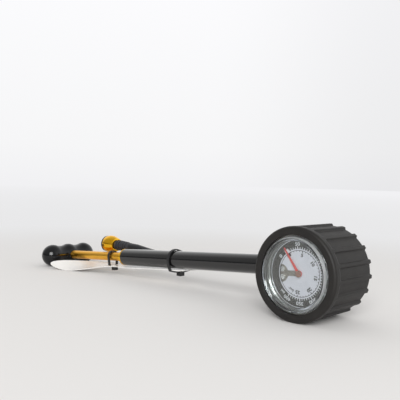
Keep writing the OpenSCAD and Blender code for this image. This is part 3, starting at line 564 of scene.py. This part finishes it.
nickel = finish_of("nickel_plated_brass", "#938d85", 0.38, Metallic=0.8)
mottle(nickel, "#8b857d", "#9c968e", 700)
grain(nickel, 0.25, 0.006, spread=0.08)
dress(nickel, "movement_front_plate", "movement_back_plate", "movement_pillars")
brass = finish_of("machined_brass", "#b8935a", 0.32, Metallic=1.0)
mottle(brass, "#ad8850", "#c29d63", 400)
grain(brass, 0.2, 0.003, spread=0.07, stretch=(1, 6, 1))
dress(brass, "sector_gear", "tip_link", "bourdon_tube", "gauge_socket", "check_seat", "chuck_stem",
      "core_pin")
steel = finish_of("turned_steel", "#d4d4d2", 0.26, Metallic=0.95)
mottle(steel, "#c9c9c8", "#dcdcda", 500)
grain(steel, 0.2, 0.003, spread=0.06)
dress(steel, "sector_arbor", "pointer_arbor", "movement_screws", "check_spring", "bleed_spring")
nylon = finish_of("moulded_white_nylon", "#d6d4c8", 0.45)
mottle(nylon, "#d0cec2", "#dcdace", 400)
grain(nylon, 0.3, 0.005)
dress(nylon, "check_poppet")
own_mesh(nodes["check_spring"], "check_lift", (-1, 0, 0), pump(-5.3, 34.0, 2.0), keep=0.8)
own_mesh(nodes["bleed_spring"], "bleed_press", (0, 1, 0), pump(13.2, 42.9, 0), keep=0.75)

# ---- Head ----
# Die-cast and machined aluminium, anodised black with a fine satin grain: the block behind the
# gauge that holds the barrel, the swivel for the hose and the gold bleed button.

black_anodised = finish_of("black_anodised_aluminium", "#2c2c30", 0.35, Metallic=0.55, Specular_IOR_Level=0.5)
mottle(black_anodised, "#28282c", "#313135", 300)
grain(black_anodised, 0.25, 0.004, spread=0.05)
dress(black_anodised, "head_block", "hose_swivel", "hose_ferrule")
dark_steel = finish_of("black_oxide_steel", "#2b2b2e", 0.33, Metallic=0.9)
mottle(dark_steel, "#242427", "#333336", 400)
grain(dark_steel, 0.2, 0.004, spread=0.07)
dress(dark_steel, "swivel_bolt", "handle_bolt")
gold_anodised = finish_of("gold_anodised_aluminium", "#f8bc2a", 0.2, Metallic=1.0)
mottle(gold_anodised, "#f3b624", "#fcc232", 160)
grain(gold_anodised, 0.3, 0.0015, spread=0.05)
dress(gold_anodised, "bleed_button")

# ---- Barrel ----
# Drawn aluminium tube, 15 mm across, anodised black. The drawing marks run along it, so its
# highlight is a long soft streak.

barrel_r, barrel_bore_r = 7.5, 6.3
barrel_start, barrel_stop = 15.6, 208


def barrel_turned(profile, sides=96):
    """Turned on the barrel's axis: the profile is (radius, distance from the gauge's axis)."""
    return turned(profile, (0, barrel_y, barrel_z), (-1, 0, 0), (0, 1, 0), (0, 0, 1), sides)


drawn_black = finish_of("black_anodised_drawn_tube", "#111111", 0.1, IOR=1.35, Coat_Weight=1.0, Coat_IOR=1.42,
                        Coat_Roughness=0.06)
mottle(drawn_black, "#0f0f0f", "#131313", 220, stretch=(0.06, 1, 1))
grain(drawn_black, 0.2, 0.0005, spread=0.04, stretch=(0.05, 1, 1))
barrel_profile = eased_corners(
    [(barrel_bore_r, barrel_start), (barrel_r, barrel_start), (barrel_r, barrel_stop),
     (barrel_bore_r, barrel_stop), (barrel_bore_r, barrel_start)],
    [0, 0.2, 0.35, 0.2, 0],
)
barrel = skin_over("barrel_skin", barrel_turned(barrel_profile[:-1]), drawn_black, "pump_body",
                   round_u=True, sharp=30)
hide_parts("barrel")

# ---- Collar and rod ----
# The collar is turned from aluminium bar with a hollow flare down to the rod and anodised bright
# gold. The rod is ground smooth, in a slightly paler satin gold, and carries an acetal piston.

spigot_r, spigot_start, collar_hole_r = 6.2, 198, 4.06
chamfer_r, chamfer_start, chamfer_stop = 7.35, 208.02, 208.25
flare_start, flare_length, flare_depth = 209.2, 5.1, 2.6
lip_r, lip_start = 4.4, 214.0
flare = np.radians(np.linspace(0, 90, 19))
collar_flare = np.stack([barrel_r - flare_depth * np.sin(flare),
                         flare_start + flare_length * (1 - np.cos(flare))], 1)
collar_profile = np.concatenate([
    [(collar_hole_r, spigot_start), (spigot_r, spigot_start), (spigot_r, chamfer_start),
     (chamfer_r, chamfer_start), (barrel_r, chamfer_stop)],
    collar_flare,
    [(lip_r, flare_start + flare_length), (collar_hole_r, lip_start)],
])
collar = skin_over("collar_skin", barrel_turned(collar_profile), gold_anodised, "pump_body",
                   round_u=True, sharp=35)
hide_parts("barrel_collar")
rod_r, rod_start, rod_stop = 4, 103.8, 303
tail_r, tail_start = 2.5, 95.8
thread_r, thread_start = 2.05, 291
gold_rod = finish_of("polished_gold_rod", "#eeb23c", 0.32, Metallic=1.0)
mottle(gold_rod, "#e9ac36", "#f3b844", 160, stretch=(0.2, 1, 1))
grain(gold_rod, 0.25, 0.001, spread=0.03, stretch=(0.1, 1, 1))
rod_profile = eased_corners(
    [(0, tail_start), (tail_r, tail_start), (tail_r, rod_start), (rod_r, rod_start), (rod_r, rod_stop),
     (thread_r, rod_stop), (thread_r, thread_start), (0, thread_start)],
    [0, 0.1, 0, 0.2, 0.2, 0.1, 0.1, 0],
)
rod = skin_over("rod_skin", barrel_turned(rod_profile, 72), gold_rod, "plunger", sharp=30)
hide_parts("piston_rod")
piston_plastic = finish_of("moulded_black_acetal", "#1b1b1d", 0.5)
grain(piston_plastic, 0.4, 0.008, spread=0.06)
dress(piston_plastic, "piston_head")

# ---- Handle ----
# Moulded glossy black ABS: three balls run into each other through two shallow waists. It is bored
# for the rod, which a bolt in a counterbore holds.

ball_r, half_span, waist_r = 10.7, 18.25, 9.15
handle_s = 300.0
rod_hole_r, bolt_hole_r, bolt_seat = 4.05, 3.8, 307.3
hollow_r = (half_span**2 / 4 + waist_r**2 - ball_r**2) / (2 * (ball_r - waist_r))


def handle_surface(rows=180, sides=120):
    """Turned about Y. The radius at t is the ball's sqrt(R^2 - (t - c)^2) up to where the ball and
    the hollow touch, and waist + hollow - sqrt(hollow^2 - (t - half / 2)^2) between the balls."""
    turn = np.linspace(0, np.pi, rows)
    t = -(half_span + ball_r) * np.cos(turn)
    nearest = np.clip(np.round(t / half_span), -1, 1) * half_span
    ball = np.sqrt(np.maximum(ball_r**2 - (t - nearest) ** 2, 0))
    off = np.abs(np.abs(t) - half_span / 2)
    reach = half_span / 2 - ball_r / (ball_r + hollow_r) * half_span / 2
    hollow = waist_r + hollow_r - np.sqrt(hollow_r**2 - np.minimum(off, reach) ** 2)
    r = np.where(off < reach, hollow, ball)
    a = np.linspace(0, 2 * np.pi, sides, endpoint=False)
    return pump(-handle_s + r[:, None] * np.cos(a), barrel_y + t[:, None], barrel_z + r[:, None] * np.sin(a))


gloss_black = finish_of("moulded_gloss_black_abs", "#0d0d0f", 0.12, Specular_IOR_Level=0.4)
mottle(gloss_black, "#0b0b0d", "#101012", 60)
grain(gloss_black, 3.0, 0.006, spread=0.03)
handle = skin_over("handle_skin", handle_surface(), gloss_black, "plunger", sharp=60)
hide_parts("handle")
cut_out(handle, bored("rod_cutter", rod_hole_r, handle_s - 15, rod_stop + 0.05))
cut_out(handle, bored("bolt_cutter", bolt_hole_r, bolt_seat, handle_s + 12))

# ---- Strain relief ----
# Injection-moulded soft black plastic over the hose's end, ribbed so that it bends without
# kinking, and flared to meet the chuck.

relief_plastic = finish_of("moulded_soft_black_plastic", "#2b2b2e", 0.48)
mottle(relief_plastic, "#27272a", "#303034", 260)
grain(relief_plastic, 0.3, 0.01, spread=0.06)
dress(relief_plastic, "strain_relief")

# ---- Chuck ----
# Turned aluminium sleeve, barrel-shaped, bright gold anodised, with a black rubber ring round its
# mouth. It spins on a brass stem and screws onto the valve.

chuck_y, chuck_z = 45, 25.7
sleeve_r, bulge_height, bulge_start, bulge_length = 5.9, 2.4, 234.9, 12.6
sleeve_end, sleeve_hole_r, sleeve_bore_r = 234.4, 3.7, 5.2
end_edge_r, end_edge = 6.2, 234.55
bore_start, bore_stop = 235.9, 240.1
valve_hole_r, mouth_hole_r = 3.6, 3.8
mouth_r, mouth_start, mouth_stop = 7.6, 247.5, 250


def chuck_turned(profile, sides=96):
    """Turned on the chuck's axis, which is level: the profile is (radius, distance behind x = 0)."""
    profile = np.asarray(profile, float)
    a = np.linspace(0, 2 * np.pi, sides, endpoint=False)
    r, s = profile[:, :1], profile[:, 1:]
    return on_table(np.stack(np.broadcast_arrays(-s, chuck_y + r * np.cos(a), chuck_z + r * np.sin(a)), -1))


# The side swells by a sine from 10 to 130 degrees along its length.
bulge = np.linspace(0, 1, 41)
sleeve_side = np.stack([sleeve_r + bulge_height * np.sin(np.radians(10 + 120 * bulge)),
                        bulge_start + bulge_length * bulge], 1)
sleeve_profile = np.concatenate([
    [(sleeve_hole_r, sleeve_end), (sleeve_r, sleeve_end), (end_edge_r, end_edge)],
    sleeve_side,
    [(valve_hole_r, mouth_start), (valve_hole_r, bore_stop), (sleeve_bore_r, bore_stop),
     (sleeve_bore_r, bore_start), (sleeve_hole_r, bore_start)],
])
sleeve = skin_over("chuck_sleeve_skin", chuck_turned(sleeve_profile), gold_anodised, "chuck",
                   round_u=True, sharp=35)
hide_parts("chuck_sleeve")
ring_rubber = finish_of("moulded_ring_rubber", "#1c1b1b", 0.5)
grain(ring_rubber, 0.3, 0.008, spread=0.06)
ring_profile = eased_corners(
    [(mouth_hole_r, mouth_start), (mouth_r, mouth_start), (mouth_r, mouth_stop), (mouth_hole_r, mouth_stop)],
    [0, 0.25, 0.8, 0],
)
nose_ring = skin_over("nose_ring_skin", chuck_turned(ring_profile), ring_rubber, "chuck",
                      round_u=True, sharp=35)
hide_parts("nose_ring")

# ---- Cable ties ----
# Moulded black nylon, 2.5 mm wide: a band pulled through a square head. The first hangs the card
# from the rod, and the second holds barrel, hose and card together.

tie_nylon = finish_of("moulded_black_nylon", "#18181a", 0.4)
mottle(tie_nylon, "#151517", "#1d1d1f", 300)
grain(tie_nylon, 0.3, 0.006, spread=0.06)
dress(tie_nylon, "cable_tie_rod", "cable_tie_barrel")

# ---- Hang card ----
# Coated white card, 0.6 mm thick and printed on no side. It lies under the barrel, twists and
# lifts towards the handle, and is slotted for the first tie.

# Each station is x, then y and z of the near edge, then y and z of the far edge.
card_stations_mm = [
    (-130, 29.5, 15.4, 51.5, 14.6), (-143, 29.5, 14.5, 51.5, 13.6), (-160, 29, 13.2, 51.5, 12.4),
    (-180, 28, 11.3, 51.5, 11), (-200, 27, 9.7, 51, 9.6), (-215, 26, 9, 49.5, 9.4),
    (-228, 23, 7.4, 47, 9.2), (-242, 18, 4.6, 43, 8.6), (-254, 14, 2.2, 38, 8.2),
    (-264, 11, 0.8, 33, 7.8), (-272, 7, 1.4, 27, 7.8), (-279, 3.4, 3.6, 18, 8), (-284, 2, 6.2, 9, 7.8),
]
card_t, corner_r = 0.6, 2.5


def card_surface(across=28):
    """Loops round the card at stations along it: out on top, back underneath. Near an end, at
    distance d, each edge draws in by R - sqrt(R^2 - (R - d)^2), which rounds the corners."""
    rows = smooth_path(card_stations_mm, 8)
    gone = np.concatenate([[0], np.cumsum(np.hypot(*np.diff(rows[:, 0:3:2], axis=0).T))])
    d = np.minimum(gone, gone[-1] - gone)
    inset = corner_r - np.sqrt(corner_r**2 - np.clip(corner_r - d, 0, corner_r) ** 2)
    near, far = rows[:, [0, 1, 2]], rows[:, [0, 3, 4]]
    reach = np.linalg.norm(far - near, axis=1)
    t = inset[:, None] / reach[:, None] + np.linspace(0, 1, across) * (1 - 2 * inset / reach)[:, None]
    top = near[:, None] + t[..., None] * (far - near)[:, None]
    loops = np.concatenate([top, top[:, ::-1] - [0, 0, card_t]], axis=1)
    ends = np.concatenate([top, top[:, ::-1]], axis=1) - [0, 0, card_t / 2]
    return on_table(np.concatenate([ends[:1], loops, ends[-1:]]))


card_white = finish_of("coated_white_card", "#e4e2df", 0.26, Specular_IOR_Level=0.5)
mottle(card_white, "#dfddda", "#e7e5e2", 60)
grain(card_white, 0.15, 0.004, spread=0.04)
card = skin_over("card_skin", card_surface(), card_white, "pump_body", sharp=50)
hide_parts("hang_card")
slot_box = box_corners((-228.1, -224.3), (28.5, 39.5), (0, 30))
cut_out(card, boxed("slot_cutter", on_table(slot_box)))

# ---- Floor and light ----
# A matt pale table that fades into the backdrop behind it. Light comes from the pale room all
# round, which is darker in front at eye level, and from a large soft lamp beside the viewer.

table_r = 6
fade_from, fade_to, far_from, far_to = 0.2, 0.64, 0.6, 4.0
floor_paint = finish_of("matt_pale_table", "#e5e3e1", 0.85, Specular_IOR_Level=0.2)
tree, skin = inside(floor_paint)
place = add(tree, "TexCoord").outputs["Object"]
gone = add(tree, "VectorMath", {0: place}, operation="LENGTH").outputs["Value"]
fade = add(tree, "MapRange", {0: gone, 1: fade_from, 2: fade_to}, interpolation_type="SMOOTHSTEP").outputs[0]
far = add(tree, "MapRange", {0: gone, 1: far_from, 2: far_to}).outputs[0]
pale = add(tree, "Mix", {0: far, 6: linear("#e8e8e9"), 7: linear("#f1f1f3")}, data_type="RGBA")
haze = add(tree, "Emission", {"Color": pale.outputs[2]})
both = add(tree, "MixShader", {0: fade, 1: skin.outputs[0], 2: haze.outputs[0]})
tree.links.new(both.outputs[0], tree.nodes["Material Output"].inputs["Surface"])
a = np.linspace(0, 2 * np.pi, 96, endpoint=False)
disc = np.stack([table_r * np.cos(a), table_r * np.sin(a), np.zeros_like(a)], 1)
floor = plain("table", disc, [list(range(len(a)))])
floor.data.materials.append(floor_paint)

world = bpy.data.worlds.new("studio")
bpy.context.scene.world = world
world.use_nodes = True
tree = world.node_tree


def shades(height, low, high, *between):
    """Colour ramp over a height: hex colours at 0 and 1, and (place, colour) pairs between them."""
    made = add(tree, "ValToRGB", {0: height})
    ramp = made.color_ramp.elements
    ramp[0].color, ramp[1].color = linear(low), linear(high)
    for place, code in between:
        ramp.new(place).color = linear(code)
    return made.outputs[0]


to_right, to_viewer = (0.73, 0.683, 0.0), (0.1, -1.0, 0.0)

# What the camera sees: a pale backdrop, lighter towards the top and dimmer towards the right.
way = add(tree, "TexCoord").outputs["Generated"]
rise = add(tree, "SeparateXYZ", {0: way}).outputs["Z"]
high = add(tree, "MapRange", {0: rise, 1: -0.02, 2: 0.3}).outputs[0]
backdrop = shades(high, "#f1f1f3", "#fcfcfe", (0.2, "#f6f6f7"))
side = add(tree, "VectorMath", {0: way, 1: to_right}, operation="DOT_PRODUCT").outputs["Value"]
dim = add(tree, "MapRange", {0: side, 1: 0.0, 2: 0.33, 3: 1.0, 4: 0.91}, interpolation_type="SMOOTHSTEP")
screen = add(tree, "VectorMath", {0: backdrop, "Scale": dim.outputs[0]}, operation="SCALE").outputs[0]

# What lights the pump: a white room behind it, and in front one that is dark at eye level.
rear = shades(rise, "#ffffff", "#b4b4b4", (0.55, "#ffffff"))
room = shades(rise, "#585858", "#b4b4b4", (0.1, "#606060"), (0.22, "#aaaaaa"))
front = add(tree, "VectorMath", {0: way, 1: to_viewer}, operation="DOT_PRODUCT").outputs["Value"]
before = add(tree, "MapRange", {0: front, 1: -0.1, 2: 0.35}, interpolation_type="SMOOTHSTEP").outputs[0]
around = add(tree, "Mix", {0: before, 6: rear, 7: room}, data_type="RGBA")
ray = add(tree, "LightPath").outputs["Is Camera Ray"]
seen = add(tree, "Mix", {0: ray, 6: around.outputs[2], 7: screen}, data_type="RGBA")
tree.links.new(seen.outputs[2], tree.nodes["Background"].inputs["Color"])

key_spot, key_target, key_side, key_watts = (2.2, -3.1, 1.8), (-0.05, 0.03, 0.02), 2.2, 156
key_light = bpy.data.lights.new("key_lamp", "AREA")
key_light.shape, key_light.size, key_light.size_y = "RECTANGLE", key_side, key_side
key_light.energy = key_watts
key_lamp = bpy.data.objects.new("key_lamp", key_light)
key_lamp.location = key_spot
key_lamp.rotation_euler = (Vector(key_target) - Vector(key_spot)).to_track_quat("-Z", "Y").to_euler()
bpy.context.scene.collection.objects.link(key_lamp)

bpy.context.scene.view_settings.view_transform = "Standard"
